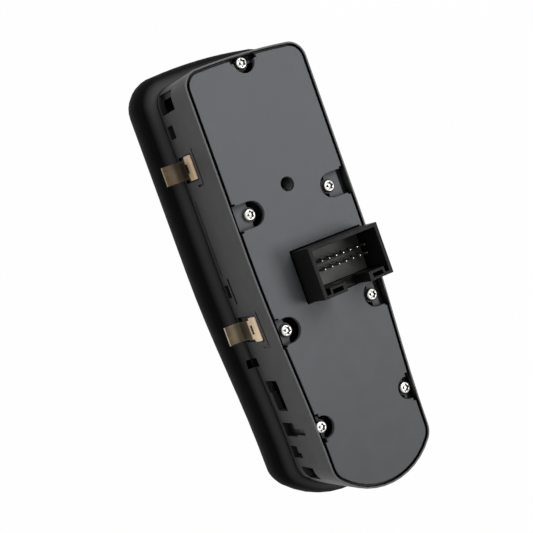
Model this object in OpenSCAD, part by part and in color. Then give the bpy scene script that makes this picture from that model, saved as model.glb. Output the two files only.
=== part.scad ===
// Master power window switch for a vehicle door, with mirror controls.
// It lies face down: +Z points out of the rear cover, and +Y runs along the
// length towards the wide end. The origin is under the middle of its front face.
// Sizes are in millimetres.

/* [Levels] */
// Height of the rear cover's outer face above the front face
cover_z = 42; // [40:0.25:44]
// Height of the widest line of the bezel
side_z = 11; // [10:0.25:12]
// Height of the housing deck that carries the rockers
deck_z = 15; // [14:0.25:15.5]
// Thickness of the housing deck
deck_t = 2; // [1.6:0.1:2.4]
// Height of the rocker pivots
pivot_z = 8; // [7.5:0.1:8.5]
// Height of the circuit board's front face
board_z = 30; // [29:0.25:31]
// Thickness of the circuit board
board_t = 1.6; // [1:0.1:2]

/* [Fits] */
// Gap between pieces that only pass each other
gap = 0.3; // [0.25:0.05:0.4]
// Radial running clearance of a pivot pin
running_gap = 0.06; // [0.04:0.01:0.1]
// Gap line between the rear cover and the housing rim
cover_gap = 0.85; // [0.6:0.05:1]
// Gap between the rear cover and the connector shroud
header_gap = 0.4; // [0.3:0.05:0.6]
// Seam between the bezel and the housing wall
seam_gap = 0.1; // [0.05:0.05:0.3]

/* [Housing] */
// Half width of the housing along its wide part
housing_half_w = 20.9; // [20.5:0.1:21.2]
// Half width of the housing at its narrow end
housing_end_half_w = 18.2; // [18:0.1:18.6]
// Corner radius at the wide end
housing_corner_r = 5.5; // [4:0.5:7]
// Corner radius at the round end
housing_end_corner_r = 6.5; // [5:0.5:8]
// Radius of the round end
housing_end_r = 22.3; // [21:0.1:24]
// Crown of the wide end's edge
housing_crown = 0.6; // [0:0.1:1]
// Wall of the housing
housing_wall = 2; // [1.7:0.1:2.2]
// Thickness of the lip round the rear cover
lip_t = 0.55; // [0.5:0.05:0.8]
// Height at which the housing skirt starts inside the bezel
skirt_z = 9.4; // [9:0.1:10]
// Place along the length where the sides start to draw in
taper_y = 10; // [6:1:14]

/* [Bezel] */
// Reach of the bezel beyond the housing's sides
overhang = 5.7; // [5.2:0.1:6.2]
// Reach of the bezel beyond the housing's sides at the narrow end
end_overhang = 5.3; // [5:0.1:5.8]
// Reach of the bezel beyond the housing's wide end
top_overhang = 5.6; // [5.2:0.1:6]
// Reach of the bezel beyond the housing's round end
bottom_overhang = 3.2; // [3:0.1:3.8]
// Half length of the bezel
bezel_half_l = 72.8; // [72:0.1:73.5]
// Corner radius at the wide end
bezel_corner_r = 10; // [8:0.5:12]
// Corner radius at the round end
bezel_end_corner_r = 9; // [8:0.5:11]
// Radius of the round end
bezel_end_r = 29; // [28:0.5:31]
// Crown of the wide end's edge
bezel_crown = 1; // [0:0.1:1.6]
// Radius of the rolled back edge
bezel_roll_r = 8; // [7.8:0.1:8.4]
// Width of the rolled front edge
bezel_front_roll = 6.4; // [6:0.1:6.8]
// Wall of the bezel
bezel_wall = 2; // [1.6:0.1:2.2]
// Thickness of the bezel's front plate
bezel_front_t = 2.4; // [2:0.1:2.6]
// Width of the flat land round the housing, as a share of the overhang
land_share = 0.18; // [0.14:0.01:0.22]

/* [Rear cover] */
// Thickness of the rear cover
cover_t = 1.6; // [1.4:0.1:1.8]
// Depth of the screw pockets
pocket_depth = 2.8; // [2.6:0.1:3]
// Thickness of a pocket's floor
pocket_floor_t = 1.2; // [1:0.1:1.4]
// Wall round a pocket
pocket_wall = 1; // [0.8:0.1:1.2]
// Radius of the pockets beside the connector and the hole
wide_pocket_r = 3.9; // [3.7:0.1:4.1]
// Radius of the pockets at both ends
small_pocket_r = 3.5; // [3.4:0.1:3.7]
// Length of the gap beside a pocket
pocket_gap_l = 9; // [8.6:0.1:9.6]
// Radius of the round hole in the cover
cover_hole_r = 2.26; // [2:0.05:2.6]
// Place of the round hole along the length
cover_hole_y = 26.2; // [25:0.2:28]

/* [Screws] */
// Diameter of a screw head
screw_head_d = 3.8; // [3.6:0.1:4]
// Height of a screw head
screw_head_h = 1.3; // [1.1:0.1:1.5]
// Diameter of a screw's shank
screw_d = 2; // [1.8:0.1:2.2]
// Length of a screw under its head
screw_l = 9; // [8:0.5:10]
// Diameter of a screw boss
boss_d = 5.2; // [5:0.1:5.4]
// Rim of a boss on which the board rests
boss_rim = 0.7; // [0.6:0.1:1]
// Place of the screw at the wide end, as a share of the bezel's half length
top_screw_share = 0.887; // [0.884:0.001:0.89]

/* [Connector] */
// Distance from the housing's side to the connector shroud
connector_inset = 2.7; // [2.5:0.1:3]
// Place of the connector along the length
connector_y = -1.2; // [-2:0.1:-0.6]
// Width of the connector shroud
connector_w = 24.8; // [24.2:0.1:25]
// Length of the connector shroud
connector_l = 15.9; // [15.4:0.1:16.4]
// Height of the shroud above the rear cover
connector_h = 10.6; // [10:0.1:12]
// Wall of the shroud
connector_wall = 1.2; // [1:0.1:1.4]
// Depth of the socket
socket_depth = 11.5; // [11:0.1:12]
// Depth of the latch side of the shroud
latch_depth = 2.85; // [2.6:0.05:3]
// Width of a latch loop
loop_w = 5.1; // [4.8:0.1:5.3]
// Width of the keyway between the loops
keyway_w = 8.3; // [8:0.1:8.8]
// Pins in each row
pin_count = 8; // [6:1:8]
// Pitch of the pins
pin_pitch = 2.54; // [2.5:0.01:2.54]
// Distance between the two rows
pin_row_gap = 2.65; // [2.54:0.01:3]
// Side of a pin
pin_w = 0.64; // [0.6:0.02:0.7]
// Length of a pin inside the socket
pin_reach = 5.8; // [5:0.1:6.5]

/* [Rockers] */
// Width of a rocker across the switch
rocker_w = 15.6; // [15:0.1:15.8]
// Length of a rocker
rocker_l = 20; // [19.4:0.1:20.4]
// Distance between the two columns of rockers
rocker_pitch_x = 17.8; // [17.6:0.1:18]
// Place of the first row of rockers, as a share of the bezel's half length
rocker_share_a = 0.54; // [0.535:0.005:0.545]
// Place of the second row of rockers, as a share of the bezel's half length
rocker_share_b = 0.1; // [0.095:0.005:0.105]
// Depth of a rocker's crown below the front face
rocker_crown_z = 1.8; // [1.7:0.05:2.1]
// Hollow of a rocker's finger face
rocker_dish = 0.7; // [0.4:0.1:0.9]
// Wall of a rocker's cap
rocker_wall = 1.3; // [1.1:0.05:1.35]
// Diameter of a rocker's pivot pins
rocker_pin_d = 3; // [2.6:0.1:3.2]
// Travel of a rocker each way, in degrees
rocker_travel = 6; // [5:0.5:6]
// Thickness of a rocker's leg
leg_t = 1.8; // [1.6:0.1:2]
// Width of a rocker's leg
leg_w = 5.2; // [4.8:0.1:5.6]
// Radius of the finger scoop in front of a rocker
scoop_r = 10; // [9:0.25:11]
// Depth of the finger scoop
scoop_depth = 3.6; // [3.2:0.1:3.8]

/* [Contact sliders] */
// Width of a contact slider
slider_w = 10; // [9.6:0.1:10.2]
// Length of a contact slider
slider_l = 11; // [10.6:0.1:11.2]
// Thickness of a contact slider
slider_t = 3.2; // [3:0.1:3.4]

/* [Mirror controls] */
// Place of the mirror knob, as a share of the bezel's half length
knob_share = 0.63; // [0.625:0.005:0.635]
// Radius of the mirror knob
knob_r = 12; // [11.6:0.1:12.2]
// Depth of the knob's face below the front face
knob_face_z = 1.6; // [1.5:0.1:1.8]
// Height of the gimbal's axes
gimbal_z = 11; // [10.8:0.1:11.2]
// Outer radius of the gimbal ring
gimbal_r = 8.6; // [8.4:0.1:8.7]
// Inner radius of the gimbal ring
gimbal_bore_r = 5.8; // [5.6:0.1:6]
// Thickness of the gimbal ring
gimbal_t = 3.2; // [3:0.1:3.4]
// Diameter of the gimbal's pins
gimbal_pin_d = 2; // [1.8:0.1:2.1]

/* [Buttons] */
// Place of the mirror buttons, as a share of the bezel's half length
mirror_button_share = 0.3; // [0.295:0.005:0.305]
// Place of the mirror buttons each side of the middle
mirror_button_x = 8.5; // [8.4:0.1:9]
// Place of the lockout button, as a share of the bezel's half length
lockout_share = 0.79; // [0.785:0.001:0.792]
// Width of a button
button_w = 11; // [10:0.1:11.2]
// Length of a button
button_l = 6.6; // [6:0.1:6.8]
// Depth of a button's face below the front face
button_face_z = 1; // [0.8:0.1:1.2]
// Side of a button's square stem
stem_w = 5.2; // [4.8:0.1:5.4]
// Travel of a button
button_travel = 1; // [0.8:0.1:1.1]

/* [Spring clips] */
// Width of a spring clip
clip_w = 7.6; // [7:0.1:8]
// Thickness of a spring clip's strip
clip_t = 0.5; // [0.4:0.05:0.6]
// Place of the upper clips along the length
upper_clip_y = 40.5; // [40:0.1:41]
// Place of the lower clips along the length
lower_clip_y = -11.7; // [-12:0.1:-11.2]
// Height of the upper clips' bend
upper_clip_z = 29; // [28.5:0.1:29.5]
// Height of the lower clips' bend
lower_clip_z = 32; // [31.5:0.1:32.5]
// Reach of an upper clip's tip beyond the housing wall
upper_clip_reach = 7.1; // [6.8:0.1:7.3]
// Reach of a lower clip's tip beyond the housing wall
lower_clip_reach = 6.2; // [6:0.1:7.3]
// Width of a clip's arm below its fold
clip_arm_w = 6; // [5.4:0.1:6.4]
// Depth of the seat for a clip in the wall
clip_seat_depth = 1; // [0.9:0.05:1.1]
// Height of a clip arm's knee
clip_knee_z = 23; // [22.5:0.1:23.5]
// Height to which a clip's arm would dip
clip_dip_z = 19.8; // [19.6:0.1:20]
// Height of a clip's tip
clip_tip_z = 21.3; // [21:0.1:21.6]
// Length of the slot in a clip's fold
clip_slot_l = 2.8; // [2.2:0.1:3.2]
// Height of the slot in a clip's fold
clip_slot_h = 1.5; // [1:0.1:1.8]

/* [Board parts] */
// Diameter of the buffer capacitor
can_d = 7.2; // [6:0.1:7.2]
// Height of the buffer capacitor
can_h = 9; // [7:0.5:11]
// Width of the control chip
chip_w = 10; // [8:0.5:10]
// Length of the control chip
chip_l = 7; // [5:0.5:8]
// Thickness of the control chip
chip_t = 1.4; // [1:0.1:1.8]

/* [Hidden] */
$fn = 48;
eps = 0.01;

bezel_half_w = housing_half_w + overhang;
bezel_end_half_w = housing_end_half_w + end_overhang;
housing_top_y = bezel_half_l - top_overhang;
housing_bottom_y = bezel_half_l - bottom_overhang;
connector_x = housing_half_w - connector_inset - connector_w / 2;

rocker_row_a = rocker_share_a * bezel_half_l;
rocker_row_b = rocker_share_b * bezel_half_l;
mirror_button_y = -mirror_button_share * bezel_half_l;
lockout_y = lockout_share * bezel_half_l;
knob_y = -knob_share * bezel_half_l;

cover_under_z = cover_z - cover_t;
pocket_floor_z = cover_z - pocket_depth;
pocket_under_z = pocket_floor_z - pocket_floor_t;
hub_rim = 0.4;
board_back_z = board_z + board_t;
board_edge = housing_wall + 0.5;
deck_back_z = deck_z + deck_t;
skirt_gap = 0.6;
notch_y = -22.6;
notch_l = 2.8;
snap_places = [46, 12, -28];
snap_z = 12.4;
snap_w = 4.4;
rib_places = [56, 30, -4, -42];
rib_z = 4.6;
rib_t = 1.2;

slider_z = board_z - gap - slider_t;
tower_z = slider_z - gap;
leg_tip_z = slider_z + slider_t / 2;
leg_tip_r = leg_t / 2 + 0.3;
slot_half = leg_tip_r + gap;
leg_length = leg_tip_z - pivot_z;
slider_travel = leg_length * sin(rocker_travel);
tower_wall = 1.2;
tower_half_x = leg_w / 2 + 1.6;
tower_half_y = leg_t / 2 + slider_travel + 2.4;
hub_half = 4.3;
ear_t = 1.5;
ear_r = rocker_pin_d / 2 + 1.3;
well_half_x = rocker_w / 2 + 0.4;
well_half_y = rocker_l / 2 + 1;
wiper_depth = 1.1;
wiper_w = 2;
wiper_y = slot_half + 0.7;
wiper_t = 0.2;

socket_floor_z = cover_z + connector_h - socket_depth;
rim_z = cover_z + connector_h;
pin_tip_z = socket_floor_z + pin_reach;
carrier_t = 1.2;
header_floor_z = socket_floor_z - carrier_t;
pin_row_y = -0.1;
pin_first_x = 0.45 - (pin_count - 1) / 2 * pin_pitch;

shoulder = 0.8;
shoulder_z = bezel_front_t + gap;
shoulder_t = 1.5;

dome_h = 1.6;
mat_t = 1;
dome_r = 2.4;
pad_w = 12;
mat_z = board_z - mat_t;
dome_z = mat_z - dome_h;
stem_end_z = dome_z - button_travel - 0.4;
actuator_t = 1.5;
actuator_r = 7.5;
actuator_collar = 2.4;
knob_stem_r = 2.5;
actuator_z = dome_z - 1.1 - actuator_t;
knob_bore_r = knob_r + 1.5;
knob_ear_t = 1.6;
knob_ear_r = 2.3;
knob_ear_x = gimbal_r + 0.6;
dome_circle_r = 5.4;

// Places and radius of the tubes that keep the board on its bosses
tubes = [[-12, 44], [12, 44], [0, -36]];
tube_r = 2;

// Place, pocket radius and direction of the open side of each cover screw
screws = concat(
    [[0, top_screw_share * bezel_half_l, small_pocket_r, 90]],
    [for (side = [1, -1]) [side * (housing_half_w - 6.7), 21.4, wide_pocket_r, 90 - 90 * side]],
    [for (side = [1, -1]) [side * (housing_half_w - 5.2), -14.4, wide_pocket_r, 90 - 90 * side]],
    [for (side = [1, -1]) [side * (housing_end_half_w - 2.5), -45.1, small_pocket_r, 90 - 90 * side]]
);

// Half width at a place along the drawn-in side
function draw_in(half_w, end_half_w, y, end_y) =
    let (share = min(max((taper_y - y) / (taper_y - end_y), 0), 1))
    half_w + (end_half_w - half_w) * (1 - cos(180 * share)) / 2;

// Height of the round end's corner centres
function end_corner_y(end_half_w, bottom_y, corner_r, end_r) =
    -bottom_y + end_r - sqrt(pow(end_r - corner_r, 2) - pow(end_half_w - corner_r, 2));

// Right half of a plan outline, from the wide end round to the round end
function half_outline(half_w, end_half_w, top_y, bottom_y, corner_r, end_corner_r, end_r, crown) =
    let (
        corner_x = half_w - corner_r,
        corner_y = top_y - crown - corner_r,
        end_x = end_half_w - end_corner_r,
        end_y = end_corner_y(end_half_w, bottom_y, end_corner_r, end_r),
        arc_y = end_r - bottom_y,
        end_angle = atan2(arc_y - end_y, end_x)
    )
    concat(
        [for (share = [0:0.25:0.75]) [corner_x * share, top_y - crown * share * share]],
        [for (angle = [90:-11.25:0]) [corner_x + corner_r * cos(angle), corner_y + corner_r * sin(angle)]],
        [for (step = [0:7]) let (y = taper_y + (end_y - taper_y) * step / 8)
            [draw_in(half_w, end_half_w, y, end_y), y]],
        [for (step = [0:6]) let (angle = -end_angle * step / 6)
            [end_x + end_corner_r * cos(angle), end_y + end_corner_r * sin(angle)]],
        [for (step = [1:6]) let (angle = -end_angle - (90 - end_angle) * step / 6)
            [end_r * cos(angle), arc_y + end_r * sin(angle)]]
    );

// Whole outline, mirrored from its right half, turning the same way all round
function closed(half) =
    concat(
        [for (p = half) [-p.x, p.y]],
        [for (i = [len(half) - 2:-1:1]) half[i]]
    );

function housing_line(inset = 0) = closed(half_outline(
    housing_half_w - inset, housing_end_half_w - inset,
    housing_top_y - inset, housing_bottom_y - inset,
    housing_corner_r - inset, housing_end_corner_r - inset,
    housing_end_r - inset, housing_crown));

function bezel_line(inset = 0) = closed(half_outline(
    bezel_half_w - inset, bezel_end_half_w - inset,
    bezel_half_l - inset, bezel_half_l - inset,
    bezel_corner_r - inset, bezel_end_corner_r - inset,
    bezel_end_r - inset, bezel_crown));

// Outline that lies a share of the way from the housing wall to the bezel's side
function rim_line(share, inset = 0) =
    let (inner = housing_line(inset), outer = bezel_line(inset))
    [for (i = [0:len(inner) - 1]) inner[i] * (1 - share) + outer[i] * share];

// Height of the rolled back edge at that share
function roll_z(share) =
    side_z + sqrt(pow(bezel_roll_r, 2) - pow(bezel_roll_r - (1 - share) * overhang, 2));

// Half width of the housing wall at a place along the length
function wall_x(y) = draw_in(housing_half_w, housing_end_half_w, y,
    end_corner_y(housing_end_half_w, housing_bottom_y, housing_end_corner_r, housing_end_r));

// Solid through a stack of outlines that have the same number of points
module loft(lines, heights) {
    count = len(lines[0]);
    last = len(lines) - 1;
    points = [for (k = [0:last]) for (p = lines[k]) [p.x, p.y, heights[k]]];
    sides = [for (k = [0:last - 1]) for (i = [0:count - 1])
        let (a = k * count + i, b = k * count + (i + 1) % count)
        each [[a, a + count, b + count], [a, b + count, b]]];
    bottom = [for (i = [0:count - 1]) i];
    top = [for (i = [count - 1:-1:0]) last * count + i];
    polyhedron(points, concat([bottom, top], sides), convexity = 8);
}

module slab(line, low, high) {
    translate([0, 0, low]) linear_extrude(high - low) polygon(line);
}

// Box given by its lowest and highest corners
module block(low, high) {
    translate(low) cube(high - low);
}

module both_sides() {
    children();
    mirror([1, 0, 0]) children();
}

module both_ends() {
    children();
    mirror([0, 1, 0]) children();
}

// Flat strip of one thickness that follows a path in the XZ plane
function strip(path, t) =
    let (
        last = len(path) - 1,
        along = [for (i = [0:last]) path[min(i + 1, last)] - path[max(i - 1, 0)]],
        across = [for (v = along) [-v.y, v.x] / norm(v) * t / 2]
    )
    concat(
        [for (i = [0:last]) path[i] + across[i]],
        [for (i = [last:-1:0]) path[i] - across[i]]
    );

// Opening through both side walls
module wall_windows(y_low, y_high, z_low, z_high, depth = housing_wall + 0.4) {
    x = wall_x((y_low + y_high) / 2);
    both_sides() block([x - depth, y_low, z_low], [x + 1, y_high, z_high]);
}

module side_openings() {
    // Window beside the wide end, and the smaller one after it
    wall_windows(58.4, 64.5, 19.6, 30);
    wall_windows(50.6, 54.7, 19.6, 23.8);
    // Small slot and the thin line over it
    wall_windows(-1, 3.1, 19.1, 21.9);
    wall_windows(-3.3, 5.1, 23, 24, 1);
    // Long groove low on the wall
    wall_windows(6.5, 30.5, 20.2, 20.7, 0.5);
    // Tall window, stepped window and the short ones towards the round end
    wall_windows(-39, -32.6, 21.4, 28);
    wall_windows(-33, -29, 20.4, 28.2);
    wall_windows(-47.6, -43.1, 20.2, 27.6);
    wall_windows(-47, -45, 26, 33.4, 1.4);
    wall_windows(-54.8, -51, 19.6, 23.8);
    wall_windows(-54.8, -53.2, 22, 25.6);
    wall_windows(-62.3, -57.8, 22, 29.6, 3.6);
    wall_windows(notch_y - notch_l / 2, notch_y + notch_l / 2, roll_z(0) - 2.6, roll_z(0) + 2.4);
}

module clip_seat(y, z) {
    x = wall_x(y);
    half = clip_w / 2 + gap;
    both_sides() {
        block([x - clip_seat_depth, y - half, roll_z(0) + 0.8], [x + 1, y + half, z + gap]);
        // Windows beside the arm
        for (side = [-1, 1]) block([x - housing_wall - 0.4, y + side * (clip_w / 2 - 0.75) - 0.6, z - 6],
            [x + 1, y + side * (clip_w / 2 - 0.75) + 0.6, z - 3.3]);
        // Thin grooves of the spring tab that the seat is cut from
        block([x - 0.6, y - half - 2.2, z - 2], [x + 1, y - half - 1.6, z + 2.4]);
        block([x - 0.6, y - half - 2.2, z + 1.8], [x + 1, y + half + 1.2, z + 2.4]);
    }
}

module screw_boss(x, y) {
    // The board rests on the wide foot
    translate([x, y, deck_z]) cylinder(d = boss_d + 2 * boss_rim, h = board_z - deck_z);
    translate([x, y, deck_z]) cylinder(d = boss_d, h = pocket_under_z - deck_z);
}

module rocker_ears() {
    for (side = [-1, 1]) translate([side * (hub_half + gap + ear_t / 2), 0, 0]) {
        difference() {
            union() {
                translate([-ear_t / 2, -ear_r, pivot_z]) cube([ear_t, 2 * ear_r, deck_z - pivot_z + 1]);
                translate([0, 0, pivot_z]) rotate([0, 90, 0]) cylinder(r = ear_r, h = ear_t, center = true);
            }
            translate([0, 0, pivot_z]) rotate([0, 90, 0])
                cylinder(r = rocker_pin_d / 2 + running_gap, h = ear_t + 1, center = true);
        }
    }
}

// Guide that carries a contact slider, round the opening for the rocker's leg
module slider_guide() {
    outer_x = tower_half_x + tower_wall;
    outer_y = tower_half_y + tower_wall;
    fence_x = slider_w / 2 + gap;
    block([-outer_x, -outer_y, deck_z], [outer_x, outer_y, tower_z]);
    both_sides() {
        block([fence_x, -outer_y, deck_z], [fence_x + tower_wall, outer_y, board_z - gap]);
        block([outer_x - eps, -1, deck_z], [fence_x + tower_wall, 1, tower_z]);
    }
}

module leg_opening() {
    block([-tower_half_x, -tower_half_y, deck_z - 1], [tower_half_x, tower_half_y, board_z]);
}

module stem_sleeve(x, y) {
    half = stem_w / 2 + gap + 1.2;
    block([x - half, y - half, skirt_z], [x + half, y + half, deck_back_z + 4]);
}

module stem_opening(x, y) {
    half = stem_w / 2 + gap;
    block([x - half, y - half, skirt_z - 1], [x + half, y + half, board_z]);
}

module knob_ears() {
    for (side = [-1, 1]) translate([side * (knob_ear_x + knob_ear_t / 2), knob_y, 0]) {
        difference() {
            union() {
                translate([-knob_ear_t / 2, -knob_ear_r, gimbal_z])
                    cube([knob_ear_t, 2 * knob_ear_r, deck_z - gimbal_z + 1]);
                translate([0, 0, gimbal_z]) rotate([0, 90, 0])
                    cylinder(r = knob_ear_r, h = knob_ear_t, center = true);
            }
            translate([0, 0, gimbal_z]) rotate([0, 90, 0])
                cylinder(r = gimbal_pin_d / 2 + running_gap, h = knob_ear_t + 1, center = true);
        }
    }
}

module each_rocker() {
    for (x = [-rocker_pitch_x / 2, rocker_pitch_x / 2]) for (y = [rocker_row_a, rocker_row_b])
        translate([x, y, 0]) children();
}

// Wall round the deck, and the seats for all the inner pieces
module switch_housing() {
    color([0.2, 0.2, 0.2]) difference() {
        union() {
            difference() {
                slab(housing_line(), skirt_z, cover_z);
                slab(housing_line(housing_wall), deck_back_z, cover_z + 1);
                slab(housing_line(housing_wall), skirt_z - 1, deck_z);
                slab(housing_line(lip_t), cover_under_z, cover_z + 1);
                translate([0, knob_y, deck_z - 1]) cylinder(r = knob_ear_x, h = deck_t + 2);
            }
            intersection() {
                slab(housing_line(0.4), deck_z, cover_z);
                for (s = screws) screw_boss(s.x, s.y);
            }
            each_rocker() {
                rocker_ears();
                slider_guide();
            }
            stem_sleeve(-mirror_button_x, mirror_button_y);
            stem_sleeve(mirror_button_x, mirror_button_y);
            stem_sleeve(0, lockout_y);
            knob_ears();
        }
        each_rocker() leg_opening();
        stem_opening(-mirror_button_x, mirror_button_y);
        stem_opening(mirror_button_x, mirror_button_y);
        stem_opening(0, lockout_y);
        side_openings();
        clip_seat(upper_clip_y, upper_clip_z);
        clip_seat(lower_clip_y, lower_clip_z);
        for (s = screws) {
            translate([s.x, s.y, pocket_under_z - screw_l]) cylinder(d = screw_d + 0.2, h = screw_l + 1);
            // Room in the ledge for the cover's pocket
            half = pocket_gap_l / 2 + gap;
            translate([s.x, s.y, pocket_under_z]) rotate(s[3])
                block([0, -half, 0], [pocket_room(s), half, pocket_depth + cover_t]);
        }
        // Windows for the bezel's snap arms
        snap_half = snap_w / 2 + gap + 0.1;
        for (y = snap_places) wall_windows(y - snap_half, y + snap_half, snap_z - 1.2, snap_z + 1.2);
    }
}

// Distance from a screw out to the inside of the housing lip
function pocket_room(s) = s.x == 0
    ? housing_top_y - housing_crown / 4 - lip_t - s.y
    : wall_x(s.y) - lip_t - abs(s.x);

// Sunk floor and side walls of a pocket. The side away from the edge is open round the screw's hub.
module pocket_body(radius, reach) {
    cylinder(d = screw_head_d + 2 * hub_rim, h = pocket_floor_t);
    block([-hub_rim, -radius - pocket_wall, 0], [reach, radius + pocket_wall, cover_z - pocket_under_z]);
}

// Plate with the sunk screw pockets, the connector's opening and the round hole
module rear_cover() {
    plate = housing_line(lip_t + cover_gap);
    color([0.39, 0.39, 0.4]) difference() {
        union() {
            slab(plate, cover_under_z, cover_z);
            difference() {
                slab(housing_line(housing_wall + gap), cover_under_z - 1.6, cover_z - 0.5);
                slab(housing_line(housing_wall + gap + 1), cover_under_z - 2, cover_z - 0.4);
            }
            intersection() {
                for (s = screws) translate([s.x, s.y, pocket_under_z]) rotate(s[3])
                    pocket_body(s[2], pocket_room(s) - 1.7);
                slab(plate, pocket_under_z, cover_z);
            }
            for (p = tubes) translate([p.x, p.y, board_back_z + gap])
                cylinder(r = tube_r, h = cover_under_z - board_back_z);
        }
        for (s = screws) translate([s.x, s.y, 0]) rotate(s[3]) {
            translate([0, 0, pocket_floor_z]) {
                cylinder(r = s[2], h = pocket_depth + 1);
                block([0, -s[2], 0], [pocket_room(s) + 2, s[2], pocket_depth + 1]);
            }
            translate([0, 0, pocket_under_z - 1]) cylinder(d = screw_d + 0.4, h = pocket_depth + 2);
            // Gap between the pocket's end and the housing
            block([pocket_room(s) - 1.7, -pocket_gap_l / 2, pocket_under_z - 1],
                [pocket_room(s) + 4, pocket_gap_l / 2, cover_z + 1]);
        }
        translate([0, cover_hole_y, cover_under_z - 1]) cylinder(r = cover_hole_r, h = cover_t + 2);
        room_x = connector_w / 2 + header_gap;
        room_y = connector_l / 2 + header_gap;
        translate([connector_x, connector_y, 0])
            block([-room_x, -room_y, pocket_under_z - 2], [room_x, room_y, cover_z + 1]);
        for (p = tubes) translate([p.x, p.y, board_back_z])
            cylinder(r = tube_r - 1, h = cover_under_z - board_back_z - 0.5);
    }
}

// Profile of the opening and finger scoop in front of a rocker
module well_profile() {
    translate([-well_half_y, -1]) square([2 * well_half_y, 20]);
    translate([-well_half_y - 2, scoop_depth - scoop_r]) circle(r = scoop_r);
}

// Turns a profile drawn along Y and Z into a bar along X
module bar_along_x(width) {
    rotate([90, 0, 90]) translate([0, 0, -width / 2]) linear_extrude(width) children();
}

module well_body() {
    frame_t = 1;
    half_x = well_half_x + frame_t;
    block([-half_x, -well_half_y - frame_t, 1], [half_x, well_half_y + frame_t, 7.6]);
    intersection() {
        block([-half_x, -well_half_y - scoop_r, 1], [half_x, 0, 7.6]);
        translate([0, -well_half_y - 2, scoop_depth - scoop_r]) rotate([0, 90, 0])
            cylinder(r = scoop_r + 1.5, h = 2 * half_x, center = true, $fn = 96);
    }
}

module well_cut() {
    intersection() {
        bar_along_x(2 * well_half_x) well_profile($fn = 96);
        union() {
            block([-well_half_x, -well_half_y, -1], [well_half_x, well_half_y, 20]);
            block([-well_half_x, -well_half_y - scoop_r, -1],
                [well_half_x, -well_half_y + eps, scoop_depth + 1]);
        }
    }
}

module snap_arm(y) {
    x = wall_x(y);
    both_sides() {
        block([x + skirt_gap, y - snap_w / 2, bezel_front_t - 0.5],
            [x + skirt_gap + 1.2, y + snap_w / 2, snap_z + 1]);
        block([x - 0.9, y - snap_w / 2, snap_z - 0.9], [x + skirt_gap + 0.1, y + snap_w / 2, snap_z + 0.9]);
    }
}

// Rib that the housing's skirt stands on
module seat_rib(y) {
    x = wall_x(y);
    both_sides() block([x - housing_wall, y - rib_t / 2, rib_z],
        [x + overhang - bezel_wall + 0.4, y + rib_t / 2, skirt_z - gap]);
}

// Rounded frame that covers the front, with the wells of the controls
module front_bezel() {
    back_shares = [land_share, 0.32, 0.46, 0.6, 0.72, 0.82, 0.9, 0.96, 1];
    back_lines = [for (share = back_shares) rim_line(share)];
    back_heights = [for (share = back_shares) roll_z(share)];
    front_angles = [90, 75, 60, 45, 30, 12];
    front_lines = [for (a = front_angles) bezel_line(bezel_front_roll * (1 - cos(a)))];
    front_heights = [for (a = front_angles) side_z * (1 - sin(a))];
    opening = housing_line(-seam_gap);
    roof_share = 0.45;
    roof_z = roll_z(roof_share) - bezel_wall;
    opening_z = roll_z(0) - bezel_wall;
    hollow_lines = [
        bezel_line(bezel_front_roll), bezel_line(bezel_wall + 1.2), bezel_line(bezel_wall),
        rim_line(roof_share), opening,
    ];
    color([0.08, 0.08, 0.08]) difference() {
        union() {
            difference() {
                loft(
                    concat(front_lines, [for (i = [len(back_lines) - 1:-1:0]) back_lines[i]]),
                    concat(front_heights, [for (i = [len(back_lines) - 1:-1:0]) back_heights[i]]));
                loft(hollow_lines, [bezel_front_t, bezel_front_t + 3, side_z, roof_z, opening_z]);
                slab(opening, opening_z - eps, cover_z);
            }
            each_rocker() well_body();
            for (y = snap_places) snap_arm(y);
            for (y = rib_places) seat_rib(y);
        }
        each_rocker() well_cut();
        for (x = [-mirror_button_x, mirror_button_x]) button_opening(x, mirror_button_y);
        button_opening(0, lockout_y);
        translate([0, knob_y, -1]) cylinder(r = knob_bore_r, h = bezel_front_t + 2, $fn = 96);
        // Square notch in the rim beside the housing
        x = wall_x(notch_y);
        both_sides() block([x - 1, notch_y - notch_l / 2, roll_z(0) - 3],
            [x + 2.2, notch_y + notch_l / 2, cover_z]);
    }
}

module button_opening(x, y) {
    half_x = button_w / 2 + gap;
    half_y = button_l / 2 + gap;
    block([x - half_x, y - half_y, -1], [x + half_x, y + half_y, bezel_front_t + 1]);
    // Room behind the front plate for the button's shoulder
    block([x - half_x - shoulder, y - half_y - shoulder, bezel_front_t],
        [x + half_x + shoulder, y + half_y + shoulder, skirt_z]);
}

module circuit_board() {
    color([0.1, 0.32, 0.16]) difference() {
        slab(housing_line(board_edge), board_z, board_back_z);
        for (s = screws) translate([s.x, s.y, board_z - 1]) cylinder(d = boss_d + 2 * gap, h = board_t + 2);
        for (row = [0, 1]) for (i = [0:pin_count - 1])
            translate([pin_x(i), pin_y(row), board_z - 1])
                cylinder(d = pin_w * 1.5 + 0.1, h = board_t + 2, $fn = 24);
    }
}

function pin_x(i) = connector_x + pin_first_x + i * pin_pitch;
function pin_y(row) = connector_y + pin_row_y + row * pin_row_gap;

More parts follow.
